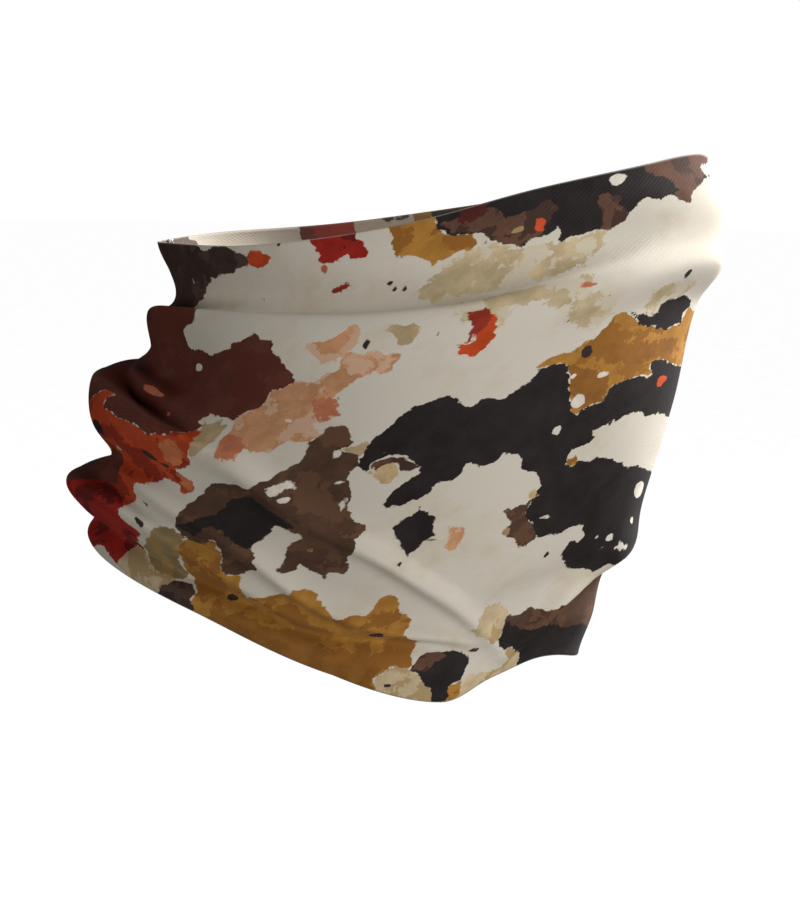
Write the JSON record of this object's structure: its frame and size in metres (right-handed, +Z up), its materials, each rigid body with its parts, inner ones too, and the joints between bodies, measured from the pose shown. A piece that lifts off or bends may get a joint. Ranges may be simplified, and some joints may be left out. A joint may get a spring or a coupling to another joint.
{
  "type": "camo face mask",
  "caption": "Soft tube of printed stretch knit, worn from the nose down round the neck, open at the top and the bottom.",
  "frame": {"origin": "on the axis of the wearer's neck, level with the lowest point of the lower edge", "axes": "+X the way the wearer faces, +Y to the wearer's left, +Z up along the neck; the pictured side is -Y"},
  "size_m": [0.248, 0.1607, 0.1941],
  "materials": {
    "printed_knit": "matte stretch knit with a blotched camouflage print",
    "turned_knit": "matte stretch knit, wrong side",
    "needle_thread": "spun polyester thread",
    "looper_thread": "textured polyester thread",
    "satin_tape": "blank woven satin tape"
  },
  "bodies": {
    "root": {"fabric_tube": "printed_knit", "seam_allowance": "turned_knit", "seam_needle_thread_inner": "needle_thread", "seam_needle_thread_outer": "needle_thread", "seam_looper_thread_upper": "looper_thread", "seam_looper_thread_lower": "looper_thread", "care_label": "satin_tape"}
  },
  "joints": []
}
